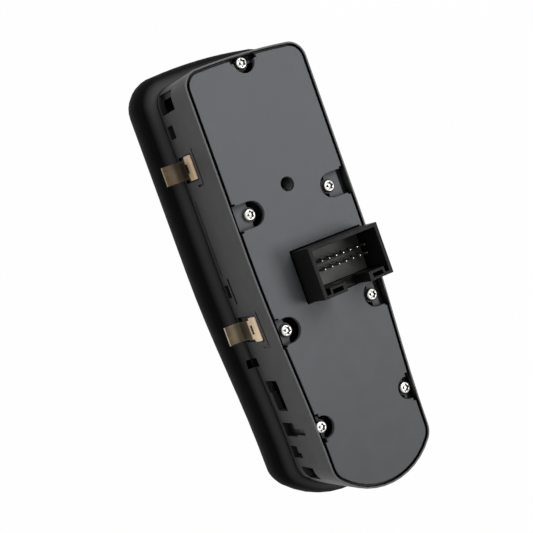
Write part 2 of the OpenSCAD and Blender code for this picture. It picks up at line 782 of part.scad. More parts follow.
// Shroud of the wiring connector, with latch loops and a keyway on one side
module connector_header() {
    half_w = connector_w / 2;
    half_l = connector_l / 2;
    band_y = -half_l + latch_depth;
    corner_slot_w = 1.4;
    loop_x = half_w - connector_wall - corner_slot_w - loop_w / 2;
    loop_wall = 0.8;
    loop_depth = 6;
    color([0.1, 0.1, 0.09]) translate([connector_x, connector_y, 0]) difference() {
        block([-half_w, -half_l, board_back_z], [half_w, half_l, rim_z]);
        // Socket
        block([-half_w + connector_wall, band_y, header_floor_z],
            [half_w - connector_wall, half_l - connector_wall, rim_z + 1]);
        // Hollow foot under the socket's floor
        block([-half_w + connector_wall, -half_l + connector_wall, board_back_z - 1],
            [half_w - connector_wall, half_l - connector_wall, header_floor_z - carrier_t]);
        for (side = [-1, 1]) {
            // Corner slots beside the loops
            slot_x = side * (half_w - connector_wall) - (side > 0 ? corner_slot_w : 0);
            block([slot_x, -half_l + 1, socket_floor_z + 1],
                [slot_x + corner_slot_w, band_y + eps, rim_z + 1]);
            // Opening of a latch loop
            block([side * loop_x - loop_w / 2 + loop_wall, -half_l + loop_wall, rim_z - loop_depth],
                [side * loop_x + loop_w / 2 - loop_wall, band_y - loop_wall, rim_z + 1]);
        }
        block([-keyway_w / 2, -half_l - 1, cover_z + 0.8], [keyway_w / 2, band_y + eps, rim_z + 1]);
        for (row = [0, 1]) for (i = [0:pin_count - 1])
            translate([pin_x(i) - connector_x, pin_y(row) - connector_y, header_floor_z])
                cube([pin_w + 0.06, pin_w + 0.06, 4], center = true);
    }
}

// Plate on the header's floor that keeps the pins in line
module pin_carrier() {
    half_w = connector_w / 2 - connector_wall - 0.1;
    low_y = -connector_l / 2 + latch_depth + 0.1;
    high_y = connector_l / 2 - connector_wall - 0.1;
    color([0.3, 0.3, 0.31]) translate([connector_x, connector_y, 0]) difference() {
        union() {
            block([-half_w, low_y, header_floor_z], [half_w, high_y, socket_floor_z]);
            // Low rib between the rows
            block([-half_w + 3, pin_row_y + pin_row_gap / 2 - 0.4, header_floor_z],
                [half_w - 3, pin_row_y + pin_row_gap / 2 + 0.4, socket_floor_z + 0.5]);
        }
        for (row = [0, 1]) for (i = [0:pin_count - 1])
            translate([pin_x(i) - connector_x, pin_y(row) - connector_y, header_floor_z])
                cube([pin_w + 0.06, pin_w + 0.06, 4], center = true);
    }
}

module connector_pins() {
    low = board_z;
    taper = 0.7;
    straight = pin_tip_z - low - taper;
    color([0.85, 0.85, 0.83]) for (row = [0, 1]) for (i = [0:pin_count - 1])
        translate([pin_x(i), pin_y(row), low]) {
            translate([-pin_w / 2, -pin_w / 2, 0]) cube([pin_w, pin_w, straight]);
            translate([0, 0, straight]) rotate(45)
                cylinder(d1 = pin_w * sqrt(2), d2 = pin_w * 0.7, h = taper, $fn = 4);
        }
}

module cover_screws() {
    color([0.85, 0.85, 0.85]) for (s = screws) translate([s.x, s.y, pocket_floor_z]) {
        difference() {
            rotate_extrude() polygon([
                [0, 0],
                [screw_head_d / 2, 0],
                [screw_head_d / 2, screw_head_h * 0.5],
                [screw_head_d / 2 - 0.35, screw_head_h * 0.85],
                [screw_head_d / 2 - 0.9, screw_head_h],
                [0, screw_head_h],
            ]);
            // Six-lobed recess
            translate([0, 0, screw_head_h - 0.7]) linear_extrude(2) for (angle = [0:60:300])
                rotate(angle) hull() {
                    circle(d = screw_head_d * 0.16, $fn = 16);
                    translate([screw_head_d * 0.18, 0]) circle(d = screw_head_d * 0.14, $fn = 16);
                }
        }
        translate([0, 0, -screw_l + 0.6]) cylinder(d = screw_d, h = screw_l);
    }
}

// Clip bent from one strip: a leg in the wall's seat, a fold and a flared arm
module spring_clip(y, top_z, reach) {
    fold_r = 0.62;
    seat_x = -clip_seat_depth + clip_t / 2 + 0.05;
    fold_x = seat_x + fold_r;
    // The arm curves from its knee by its lowest point to its tip
    knee = [fold_x + fold_r + 0.5, clip_knee_z];
    dip = [fold_x + fold_r + 1.5, clip_dip_z];
    tip = [reach, clip_tip_z];
    fold_z = top_z - fold_r - clip_t / 2;
    arm_top_z = top_z - 3.3;
    path = concat(
        [[seat_x, clip_tip_z + 0.1]],
        [for (angle = [180:-30:0]) [fold_x + fold_r * cos(angle), fold_z + fold_r * sin(angle)]],
        [for (t = [0:0.125:1]) knee * pow(1 - t, 2) + dip * 2 * t * (1 - t) + tip * t * t]
    );
    x = wall_x(y);
    color([0.62, 0.55, 0.47]) translate([x, y, 0]) difference() {
        rotate([90, 0, 0]) linear_extrude(clip_w, center = true) polygon(strip(path, clip_t));
        // The arm is narrower than the fold
        both_ends() block([fold_x, clip_arm_w / 2, clip_dip_z - 2], [reach + 1, clip_w / 2 + 1, arm_top_z]);
        // Slot in the fold
        block([fold_x + fold_r * 0.4, -clip_slot_l / 2, arm_top_z - 0.6],
            [fold_x + 4, clip_slot_l / 2, arm_top_z - 0.6 + clip_slot_h]);
    }
}

module upper_clip() { spring_clip(upper_clip_y, upper_clip_z, upper_clip_reach); }
module lower_clip() { spring_clip(lower_clip_y, lower_clip_z, lower_clip_reach); }
module upper_left_clip() { mirror([1, 0, 0]) upper_clip(); }
module upper_right_clip() { upper_clip(); }
module lower_left_clip() { mirror([1, 0, 0]) lower_clip(); }
module lower_right_clip() { lower_clip(); }

// Height of a rocker's finger face, from its lip to its back edge
function rocker_face_z(share) =
    rocker_crown_z + rocker_dish * sin(180 * share) + 1.4 * share * share;

module rocker(x, y) {
    half = rocker_l / 2;
    skirt = pivot_z + 0.4;
    face = [for (share = [0:0.1:1]) [-half + rocker_l * share, rocker_face_z(share)]];
    profile = concat(face, [[half, skirt], [-half + 4, skirt], [-half + 0.8, 4.8], [-half, 4.2]]);
    inner_half = rocker_w / 2 - rocker_wall;
    roof = rocker_crown_z + rocker_dish + 2;
    color([0.1, 0.1, 0.1]) translate([x, y, 0]) {
        difference() {
            bar_along_x(rocker_w) polygon(profile);
            block([-inner_half, -half + 4.6, roof], [inner_half, half - rocker_wall, skirt + 1]);
            // Softened long edges
            for (side = [-1, 1]) translate([side * rocker_w / 2, 0, rocker_crown_z]) rotate([0, 45, 0])
                cube([0.7, 2 * rocker_l, 0.7], center = true);
        }
        block([-hub_half, -2.6, roof - 0.5], [hub_half, 2.6, pivot_z + 2.6]);
        translate([0, 0, pivot_z]) rotate([0, 90, 0])
            cylinder(d = rocker_pin_d, h = 2 * (hub_half + gap + ear_t), center = true);
        block([-leg_w / 2, -leg_t / 2, pivot_z + 1], [leg_w / 2, leg_t / 2, leg_tip_z]);
        translate([0, 0, leg_tip_z]) rotate([0, 90, 0]) cylinder(r = leg_tip_r, h = leg_w, center = true);
    }
}

module rocker_a_left() { rocker(-rocker_pitch_x / 2, rocker_row_a); }
module rocker_a_right() { rocker(rocker_pitch_x / 2, rocker_row_a); }
module rocker_b_left() { rocker(-rocker_pitch_x / 2, rocker_row_b); }
module rocker_b_right() { rocker(rocker_pitch_x / 2, rocker_row_b); }

// Carriage that the rocker's leg moves under the board
module contact_slider(x, y) {
    color([0.75, 0.75, 0.7]) translate([x, y, slider_z]) difference() {
        block([-slider_w / 2, -slider_l / 2, 0], [slider_w / 2, slider_l / 2, slider_t]);
        block([-leg_w / 2 - gap, -slot_half, -1], [leg_w / 2 + gap, slot_half, slider_t + 1]);
        block([-slider_w / 2 + 0.7, wiper_y, slider_t - wiper_depth],
            [slider_w / 2 - 0.7, wiper_y + wiper_w, slider_t + 1]);
    }
}

module slider_a_left() { contact_slider(-rocker_pitch_x / 2, rocker_row_a); }
module slider_a_right() { contact_slider(rocker_pitch_x / 2, rocker_row_a); }
module slider_b_left() { contact_slider(-rocker_pitch_x / 2, rocker_row_b); }
module slider_b_right() { contact_slider(rocker_pitch_x / 2, rocker_row_b); }

// Bowed contact strip in the carriage's pocket
module contact_wiper(x, y) {
    half = slider_w / 2 - 0.9;
    low = slider_z + slider_t - wiper_depth;
    path = [for (i = [-6:6]) let (bow = abs(i) < 3 ? 0.18 : 0.6)
        [half * i / 6, low + 0.12 + bow * pow(cos(i * 30), 2)]];
    color([0.8, 0.6, 0.35]) translate([x, y + wiper_y + 0.1, 0])
        rotate([90, 0, 0]) mirror([0, 0, 1]) linear_extrude(wiper_w - 0.2) polygon(strip(path, wiper_t));
}

module wiper_a_left() { contact_wiper(-rocker_pitch_x / 2, rocker_row_a); }
module wiper_a_right() { contact_wiper(rocker_pitch_x / 2, rocker_row_a); }
module wiper_b_left() { contact_wiper(-rocker_pitch_x / 2, rocker_row_b); }
module wiper_b_right() { contact_wiper(rocker_pitch_x / 2, rocker_row_b); }

module gimbal_ring() {
    color([0.75, 0.75, 0.7]) translate([0, knob_y, gimbal_z]) difference() {
        union() {
            translate([0, 0, -gimbal_t / 2]) cylinder(r = gimbal_r, h = gimbal_t);
            rotate([0, 90, 0]) cylinder(d = gimbal_pin_d, h = 2 * (knob_ear_x + knob_ear_t), center = true);
        }
        translate([0, 0, -gimbal_t]) cylinder(r = gimbal_bore_r, h = 2 * gimbal_t);
        rotate([90, 0, 0]) cylinder(r = gimbal_pin_d / 2 + running_gap, h = 3 * gimbal_r, center = true);
    }
}

// Round knob that tips four ways on the gimbal
module mirror_knob() {
    stem_r = knob_stem_r + 1.5;
    skirt_end = 6.4;
    color([0.1, 0.1, 0.1]) translate([0, knob_y, 0]) {
        rotate_extrude($fn = 96) polygon([
            [0, knob_face_z + 0.9],
            [knob_r * 0.4, knob_face_z + 0.7],
            [knob_r * 0.7, knob_face_z + 0.1],
            [knob_r * 0.8, knob_face_z],
            [knob_r * 0.92, knob_face_z + 0.4],
            [knob_r, knob_face_z + 1.6],
            [knob_r, skirt_end],
            [knob_r - 1.4, skirt_end],
            [knob_r - 1.4, knob_face_z + 2.8],
            [stem_r, knob_face_z + 2.8],
            [stem_r, gimbal_z + 3],
            [knob_stem_r, gimbal_z + 3],
            [knob_stem_r, actuator_z + actuator_t],
            [0, actuator_z + actuator_t],
        ]);
        translate([0, 0, gimbal_z]) rotate([90, 0, 0])
            cylinder(d = gimbal_pin_d, h = 2 * (gimbal_r - 0.4), center = true);
    }
}

// Plate on the knob's stem that presses the domes of the key mat
module knob_actuator() {
    color([0.75, 0.75, 0.7]) translate([0, knob_y, actuator_z]) rotate_extrude() polygon([
        [knob_stem_r + 0.05, -actuator_collar],
        [knob_stem_r + 1.5, -actuator_collar],
        [knob_stem_r + 1.5, 0],
        [actuator_r, 0],
        [actuator_r, actuator_t],
        [knob_stem_r + 0.05, actuator_t],
    ]);
}

module push_button(x, y) {
    half_w = button_w / 2;
    half_l = button_l / 2;
    edge = 0.5;
    color([0.1, 0.1, 0.1]) translate([x, y, 0]) {
        difference() {
            block([-half_w, -half_l, button_face_z], [half_w, half_l, shoulder_z + shoulder_t]);
            for (side = [-1, 1]) {
                translate([side * half_w, 0, button_face_z]) rotate([0, 45, 0])
                    cube([edge, button_w + 4, edge], center = true);
                translate([0, side * half_l, button_face_z]) rotate([45, 0, 0])
                    cube([button_w + 4, edge, edge], center = true);
            }
        }
        block([-half_w - shoulder, -half_l - shoulder, shoulder_z],
            [half_w + shoulder, half_l + shoulder, shoulder_z + shoulder_t]);
        block([-stem_w / 2, -stem_w / 2, shoulder_z + 1], [stem_w / 2, stem_w / 2, stem_end_z]);
    }
}

module mirror_left_button() { push_button(-mirror_button_x, mirror_button_y); }
module mirror_right_button() { push_button(mirror_button_x, mirror_button_y); }
module lockout_button() { push_button(0, lockout_y); }

// Hollow silicone dome that stands on the mat
module key_dome(x, y) {
    translate([x, y, dome_z]) rotate_extrude($fn = 32) polygon([
        [0, 0],
        [1.4, 0],
        [dome_r, dome_h],
        [dome_r - 0.6, dome_h],
        [1.1, 0.6],
        [0, 0.6],
    ]);
}

module mirror_key_mat() {
    half = mirror_button_x + 3.4;
    color([0.7, 0.7, 0.68]) {
        block([-half, knob_y - 9, mat_z], [half, mirror_button_y + 4, board_z]);
        for (x = [-mirror_button_x, mirror_button_x]) key_dome(x, mirror_button_y);
        for (angle = [0:90:270]) key_dome(dome_circle_r * cos(angle), knob_y + dome_circle_r * sin(angle));
    }
}

module lockout_key_pad() {
    color([0.7, 0.7, 0.68]) {
        block([-pad_w / 2, lockout_y - dome_r - 2.6, mat_z],
            [pad_w / 2, lockout_y + dome_r + 0.2, board_z]);
        key_dome(0, lockout_y);
    }
}

module control_chip() {
    y = (rocker_row_a + rocker_row_b) / 2 - 1;
    color([0.12, 0.12, 0.12])
        block([-chip_w / 2, y - chip_l / 2, board_z - chip_t], [chip_w / 2, y + chip_l / 2, board_z]);
}

module buffer_capacitor() {
    y = (rocker_row_b + mirror_button_y) / 2;
    bead = 0.3;
    color([0.3, 0.3, 0.33]) translate([0, y, board_z - can_h]) rotate_extrude() polygon([
        [0, 0],
        [can_d / 2 - bead, 0],
        [can_d / 2, bead],
        [can_d / 2, can_h * 0.74],
        [can_d / 2 - bead, can_h * 0.78],
        [can_d / 2, can_h * 0.82],
        [can_d / 2, can_h],
        [0, can_h],
    ]);
}

module backlight_leds() {
    led_x = 10;
    led = [1.6, 0.8, 0.7];
    places = [rocker_row_a + 10.4, rocker_row_b + 10.4, rocker_row_b - 10.8];
    color([0.9, 0.9, 0.8]) for (side = [-1, 1]) for (y = places)
        block([side * led_x - led.x / 2, y - led.y / 2, board_z - led.z],
            [side * led_x + led.x / 2, y + led.y / 2, board_z]);
}

switch_housing();
rear_cover();
front_bezel();
circuit_board();
connector_header();
pin_carrier();
connector_pins();
cover_screws();
upper_left_clip();
upper_right_clip();
lower_left_clip();
lower_right_clip();
rocker_a_left();
rocker_a_right();
rocker_b_left();
rocker_b_right();
slider_a_left();
slider_a_right();
slider_b_left();
slider_b_right();
wiper_a_left();
wiper_a_right();
wiper_b_left();
wiper_b_right();
gimbal_ring();
mirror_knob();
knob_actuator();
mirror_left_button();
mirror_right_button();
lockout_button();
mirror_key_mat();
lockout_key_pad();
control_chip();
buffer_capacitor();
backlight_leds();
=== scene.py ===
"""Looks of the power window switch: finishes, rounded edges, small fasteners and the studio.

Everything is in metres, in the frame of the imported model. The part lies face down, with +Z out of its rear
cover and +Y along its length towards the wide end.
"""

from __future__ import annotations

import logging
import math
from dataclasses import dataclass, field
from enum import Enum

import bmesh
import bpy
from mathutils import Matrix, Vector


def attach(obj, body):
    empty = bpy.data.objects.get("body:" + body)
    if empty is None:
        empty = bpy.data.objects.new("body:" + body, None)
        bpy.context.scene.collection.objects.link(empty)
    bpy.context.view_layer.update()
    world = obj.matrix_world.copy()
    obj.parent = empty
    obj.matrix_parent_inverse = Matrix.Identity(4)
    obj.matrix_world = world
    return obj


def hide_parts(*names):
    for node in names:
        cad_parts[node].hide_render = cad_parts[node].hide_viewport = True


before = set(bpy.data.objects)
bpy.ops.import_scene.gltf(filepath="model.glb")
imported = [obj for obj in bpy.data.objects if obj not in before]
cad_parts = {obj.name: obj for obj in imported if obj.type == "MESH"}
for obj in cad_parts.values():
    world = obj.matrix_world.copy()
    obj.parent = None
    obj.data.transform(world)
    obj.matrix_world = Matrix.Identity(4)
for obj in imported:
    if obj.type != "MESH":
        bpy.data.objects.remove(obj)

log = logging.getLogger("switch")

MM = 0.001
Colour = tuple[float, float, float]

# Corners of a CAD mesh nearer than this are one corner
WELD = 0.002 * MM
# Edges shorter than this after rounding are closed up
SLIVER = 0.001 * MM
# Faces that bend less than this are one flat face
FLAT = math.radians(0.4)
# Most of a noise's values lie between these
NOISE_LOW = 0.3
NOISE_HIGH = 0.7


class Side(Enum):
    """The two long sides of the switch."""

    LEFT = -1
    RIGHT = 1


class Body(Enum):
    """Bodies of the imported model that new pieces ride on."""

    HOUSING = "housing"
    KNOB = "knob"


# Shader groups


class NodeTree:
    """A shader node tree with short calls for adding and joining nodes."""

    def __init__(self, tree: bpy.types.NodeTree) -> None:
        """Keeps the tree.

        Args:
            tree: The material's or the group's node tree.
        """
        self.tree = tree

    def add(self, kind: str, **values: object) -> bpy.types.Node:
        """Adds a node and sets its properties.

        Args:
            kind: The node's type, such as ShaderNodeTexNoise.
            **values: Properties of the node.

        Returns:
            The new node.
        """
        node = self.tree.nodes.new(kind)
        for name, value in values.items():
            setattr(node, name, value)
        return node

    def join(self, source: bpy.types.NodeSocket, target: bpy.types.NodeSocket) -> None:
        """Links an output to an input.

        Args:
            source: The output.
            target: The input.
        """
        self.tree.links.new(source, target)

    def math(self, operation: str, first: object, second: object) -> bpy.types.NodeSocket:
        """Adds a Math node.

        Args:
            operation: The operation, such as MULTIPLY.
            first: A socket or a number.
            second: A socket or a number.

        Returns:
            The node's output.
        """
        node = self.add("ShaderNodeMath", operation=operation)
        for index, value in enumerate((first, second)):
            if isinstance(value, bpy.types.NodeSocket):
                self.join(value, node.inputs[index])
            else:
                node.inputs[index].default_value = value
        return node.outputs[0]

    def noise(self, vector: bpy.types.NodeSocket, scale: object, detail: float) -> bpy.types.NodeSocket:
        """Adds a noise texture.

        Args:
            vector: The coordinates that it reads.
            scale: A socket or a number.
            detail: Octaves of the noise.

        Returns:
            The noise's value, about 0.5 on average.
        """
        node = self.add("ShaderNodeTexNoise")
        self.join(vector, node.inputs["Vector"])
        if isinstance(scale, bpy.types.NodeSocket):
            self.join(scale, node.inputs["Scale"])
        else:
            node.inputs["Scale"].default_value = scale
        node.inputs["Detail"].default_value = detail
        return node.outputs[0]


def new_group(name: str, inputs: dict[str, float],
              outputs: tuple[str, ...]) -> tuple[bpy.types.NodeTree, NodeTree]:
    """Makes an empty shader node group with float sockets.

    Args:
        name: The group's name.
        inputs: Each input's name and default value.
        outputs: The outputs' names.

    Returns:
        The group and its helper.
    """
    group = bpy.data.node_groups.new(name, "ShaderNodeTree")
    for label, value in inputs.items():
        socket = group.interface.new_socket(name=label, in_out="INPUT", socket_type="NodeSocketFloat")
        socket.default_value = value
    for label in outputs:
        group.interface.new_socket(name=label, in_out="OUTPUT", socket_type="NodeSocketFloat")
    return group, NodeTree(group)


def build_moulded_grain() -> bpy.types.NodeTree:
    """Fine spark-eroded grain of a moulded plastic, with slow clouds in its tone and gloss.

    Returns:
        The group. Grain is a height, Cloud is a slow mask, Gloss is a mask for the roughness.
    """
    cell_scale, cell_height, gloss_scale = 0.45, 0.6, 7.0
    group, tree = new_group("moulded_grain", {"Grain Scale": 4000.0, "Cloud Scale": 30.0},
                            ("Grain", "Cloud", "Gloss"))
    source = tree.add("NodeGroupInput")
    sink = tree.add("NodeGroupOutput")
    place = tree.add("ShaderNodeTexCoord").outputs["Object"]
    fine = tree.noise(place, source.outputs["Grain Scale"], 2.0)
    cells = tree.add("ShaderNodeTexVoronoi")
    tree.join(place, cells.inputs["Vector"])
    tree.join(tree.math("MULTIPLY", source.outputs["Grain Scale"], cell_scale), cells.inputs["Scale"])
    coarse = tree.math("MULTIPLY", cells.outputs["Distance"], cell_height)
    tree.join(tree.math("ADD", fine, coarse), sink.inputs["Grain"])
    tree.join(tree.noise(place, source.outputs["Cloud Scale"], 4.0), sink.inputs["Cloud"])
    small = tree.math("MULTIPLY", source.outputs["Cloud Scale"], gloss_scale)
    tree.join(tree.noise(place, small, 5.0), sink.inputs["Gloss"])
    return group


def build_deep_shade() -> bpy.types.NodeTree:
    """Darkness of gaps, pockets and windows, where little light gets in.

    Returns:
        The group. Openness is near 1 on open faces and falls to Darkest in narrow places.
    """
    group, tree = new_group("deep_shade", {"Reach": 0.004, "Closed": 0.2, "Open": 0.72, "Darkest": 0.1},
                            ("Openness",))
    source = tree.add("NodeGroupInput")
    sink = tree.add("NodeGroupOutput")
    around = tree.add("ShaderNodeAmbientOcclusion", samples=8)
    tree.join(source.outputs["Reach"], around.inputs["Distance"])
    spread = tree.add("ShaderNodeMapRange", interpolation_type="SMOOTHSTEP")
    tree.join(around.outputs["AO"], spread.inputs["Value"])
    for label, target in (("Closed", "From Min"), ("Open", "From Max"), ("Darkest", "To Min")):
        tree.join(source.outputs[label], spread.inputs[target])
    tree.join(spread.outputs[0], sink.inputs["Openness"])
    return group


def build_painted_light_ramp() -> bpy.types.NodeTree:
    """Painted light and shade that change along a direction.

    Returns:
        The group. Tone is Below under the place Low, and passes smoothly to Above at the place High. Both
        places are measured along the direction, and as distances from the middle where Mirrored is 1.
    """
    group, tree = new_group("level_tone",
                            {"Along X": 0.0, "Along Y": 0.0, "Along Z": 1.0, "Mirrored": 0.0,
                             "Low": 0.0, "High": 1.0, "Below": 1.0, "Above": 1.0},
                            ("Tone",))
    source = tree.add("NodeGroupInput")
    sink = tree.add("NodeGroupOutput")
    direction = tree.add("ShaderNodeCombineXYZ")
    for label, target in (("Along X", "X"), ("Along Y", "Y"), ("Along Z", "Z")):
        tree.join(source.outputs[label], direction.inputs[target])
    reach = tree.add("ShaderNodeVectorMath", operation="DOT_PRODUCT")
    tree.join(tree.add("ShaderNodeTexCoord").outputs["Object"], reach.inputs[0])
    tree.join(direction.outputs[0], reach.inputs[1])
    place = tree.add("ShaderNodeMix", data_type="FLOAT")
    tree.join(source.outputs["Mirrored"], place.inputs[0])
    tree.join(reach.outputs["Value"], place.inputs[2])
    tree.join(tree.math("ABSOLUTE", reach.outputs["Value"], 0.0), place.inputs[3])
    rise = tree.add("ShaderNodeMapRange", interpolation_type="SMOOTHSTEP")
    tree.join(place.outputs[0], rise.inputs["Value"])
    ends = (("Low", "From Min"), ("High", "From Max"), ("Below", "To Min"), ("Above", "To Max"))
    for label, target in ends:
        tree.join(source.outputs[label], rise.inputs[target])
    tree.join(rise.outputs[0], sink.inputs["Tone"])
    return group


def build_rolled_streaks() -> bpy.types.NodeTree:
    """Rolling lines along a steel strip, with a slow stain.

    Returns:
        The group. Streaks is a height and a mask for the roughness, Stain is a slow mask for the tone.
    """
    group, tree = new_group("rolled_streaks", {"Streak Scale": 2500.0, "Stain Scale": 300.0},
                            ("Streaks", "Stain"))
    source = tree.add("NodeGroupInput")
    sink = tree.add("NodeGroupOutput")
    place = tree.add("ShaderNodeTexCoord").outputs["Object"]
    stretch = tree.add("ShaderNodeMapping")
    stretch.inputs["Scale"].default_value = (0.05, 1.0, 0.05)
    tree.join(place, stretch.inputs["Vector"])
    tree.join(tree.noise(stretch.outputs[0], source.outputs["Streak Scale"], 3.0), sink.inputs["Streaks"])
    tree.join(tree.noise(place, source.outputs["Stain Scale"], 3.0), sink.inputs["Stain"])
    return group


# Finishes


def new_material(name: str) -> tuple[bpy.types.Material, NodeTree, bpy.types.Node]:
    """Makes a material with a Principled shader joined to its output.

    Args:
        name: The material's name.

    Returns:
        The material, its node helper and its shader.
    """
    material = bpy.data.materials.new(name)
    material.use_nodes = True
    material.node_tree.nodes.clear()
    tree = NodeTree(material.node_tree)
    shader = tree.add("ShaderNodeBsdfPrincipled")
    tree.join(shader.outputs[0], tree.add("ShaderNodeOutputMaterial").inputs["Surface"])
    return material, tree, shader


def ranged(tree: NodeTree, mask: bpy.types.NodeSocket, low: float, high: float) -> bpy.types.NodeSocket:
    """Maps a noise mask onto a range of values.

    Args:
        tree: The material's node helper.
        mask: A noise value.
        low: Value where the mask is low.
        high: Value where the mask is high.

    Returns:
        The mapped value.
    """
    node = tree.add("ShaderNodeMapRange")
    node.inputs["From Min"].default_value = NOISE_LOW
    node.inputs["From Max"].default_value = NOISE_HIGH
    node.inputs["To Min"].default_value = low
    node.inputs["To Max"].default_value = high
    tree.join(mask, node.inputs["Value"])
    return node.outputs[0]


def tinted(tree: NodeTree, mask: bpy.types.NodeSocket, dark: Colour, light: Colour) -> bpy.types.NodeSocket:
    """Mixes two colours by a noise mask.

    Args:
        tree: The material's node helper.
        mask: A noise value.
        dark: Colour where the mask is low.
        light: Colour where the mask is high.

    Returns:
        The mixed colour.
    """
    ramp = tree.add("ShaderNodeValToRGB")
    ends = zip(ramp.color_ramp.elements, (NOISE_LOW, NOISE_HIGH), (dark, light))
    for element, position, colour in ends:
        element.position = position
        element.color = (*colour, 1.0)
    tree.join(mask, ramp.inputs[0])
    return ramp.outputs["Color"]


def scaled_by(tree: NodeTree, colour: bpy.types.NodeSocket,
              factor: bpy.types.NodeSocket) -> bpy.types.NodeSocket:
    """Multiplies a colour by a mask.

    Args:
        tree: The material's node helper.
        colour: The colour.
        factor: The mask.

    Returns:
        The product.
    """
    product = tree.add("ShaderNodeVectorMath", operation="SCALE")
    tree.join(colour, product.inputs[0])
    tree.join(factor, product.inputs["Scale"])
    return product.outputs["Vector"]


@dataclass(frozen=True)
class DeepShade:
    """How strongly gaps, pockets and windows darken.

    The reach is in millimetres. Closed and open are the shares of free surroundings at which the darkening is
    full and at which it ends.
    """

    reach: float = 5.0
    closed: float = 0.2
    open: float = 0.72
    darkest: float = 0.08


@dataclass(frozen=True)
class PaintedLightRamp:
    """A ramp of painted light and shade along a direction, with places in millimetres."""

    low: float
    high: float
    below: float
    above: float
    along: tuple[float, float, float] = (0.0, 0.0, 1.0)
    mirrored: bool = False


def with_painted_light(tree: NodeTree, groups: dict[str, bpy.types.NodeTree], colour: bpy.types.NodeSocket,
             levels: tuple[PaintedLightRamp, ...]) -> bpy.types.NodeSocket:
    """Paints light and shade into a colour from place to place on the switch.

    Args:
        tree: The material's node helper.
        groups: The shader groups by name.
        colour: The colour before the change.
        levels: The ramps of painted light and shade.

    Returns:
        The changed colour.
    """
    for level in levels:
        tone = tree.add("ShaderNodeGroup", node_tree=groups["level_tone"])
        for label, share in zip(("Along X", "Along Y", "Along Z"), level.along):
            tone.inputs[label].default_value = share
        tone.inputs["Mirrored"].default_value = float(level.mirrored)
        for label, place in (("Low", level.low), ("High", level.high)):
            tone.inputs[label].default_value = place * MM
        for label, factor in (("Below", level.below), ("Above", level.above)):
            tone.inputs[label].default_value = factor
        colour = scaled_by(tree, colour, tone.outputs["Tone"])
    return colour


def shaded(tree: NodeTree, groups: dict[str, bpy.types.NodeTree], colour: bpy.types.NodeSocket,
           depth: DeepShade) -> bpy.types.NodeSocket:
    """Darkens a colour in gaps, pockets and windows.

    Args:
        tree: The material's node helper.
        groups: The shader groups by name.
        colour: The colour of open faces.
        depth: How strongly it darkens.

    Returns:
        The darkened colour.
    """
    shade = tree.add("ShaderNodeGroup", node_tree=groups["deep_shade"])
    shade.inputs["Reach"].default_value = depth.reach * MM
    shade.inputs["Closed"].default_value = depth.closed
    shade.inputs["Open"].default_value = depth.open
    shade.inputs["Darkest"].default_value = depth.darkest
    return scaled_by(tree, colour, shade.outputs["Openness"])


def scaled(colour: Colour, factor: float) -> Colour:
    """Makes a colour lighter or darker.

    Args:
        colour: The colour.
        factor: What each channel is multiplied by.

    Returns:
        The product.
    """
    return tuple(channel * factor for channel in colour)


def add_bump(tree: NodeTree, shader: bpy.types.Node, height: bpy.types.NodeSocket, depth: float) -> None:
    """Joins a height to a shader's normal.

    Args:
        tree: The material's node helper.
        shader: The Principled shader.
        height: The height.
        depth: Its depth in millimetres.
    """
    bump = tree.add("ShaderNodeBump")
    bump.inputs["Strength"].default_value = 1.0
    bump.inputs["Distance"].default_value = depth * MM
    tree.join(height, bump.inputs["Height"])
    tree.join(bump.outputs[0], shader.inputs["Normal"])


@dataclass(frozen=True)
class MouldedPlastic:
    """Grained injection-moulded plastic.

    The scales are for coordinates in metres, and the grain's depth is in millimetres. The spreads are how far
    the tone and the roughness swing to each side of their means.
    """

    name: str
    colour: Colour
    slot: str
    roughness: float = 0.5
    grain_scale: float = 4500.0
    grain_depth: float = 0.02
    cloud_scale: float = 30.0
    tone_spread: float = 0.06
    gloss_spread: float = 0.05
    specular: float = 0.5
    depth: DeepShade = DeepShade()
    # Ramps of painted light and shade over the colour
    levels: tuple[PaintedLightRamp, ...] = ()

    def build(self, groups: dict[str, bpy.types.NodeTree]) -> bpy.types.Material:
        """Makes the material.

        Args:
            groups: The shader groups by name.

        Returns:
            The material.
        """
        material, tree, shader = new_material(self.name)
        grain = tree.add("ShaderNodeGroup", node_tree=groups["moulded_grain"])
        grain.inputs["Grain Scale"].default_value = self.grain_scale
        grain.inputs["Cloud Scale"].default_value = self.cloud_scale
        dark = scaled(self.colour, 1 - self.tone_spread)
        light = scaled(self.colour, 1 + self.tone_spread)
        tone = tinted(tree, grain.outputs["Cloud"], dark, light)
        # Painted light and shade along the ramps, then painted shade in gaps, pockets and windows
        tone = with_painted_light(tree, groups, tone, self.levels)
        tree.join(shaded(tree, groups, tone, self.depth), shader.inputs["Base Color"])
        gloss = ranged(tree, grain.outputs["Gloss"], self.roughness - self.gloss_spread,
                       self.roughness + self.gloss_spread)
        tree.join(gloss, shader.inputs["Roughness"])
        shader.inputs["Specular IOR Level"].default_value = self.specular
        add_bump(tree, shader, grain.outputs["Grain"], self.grain_depth)
        return material


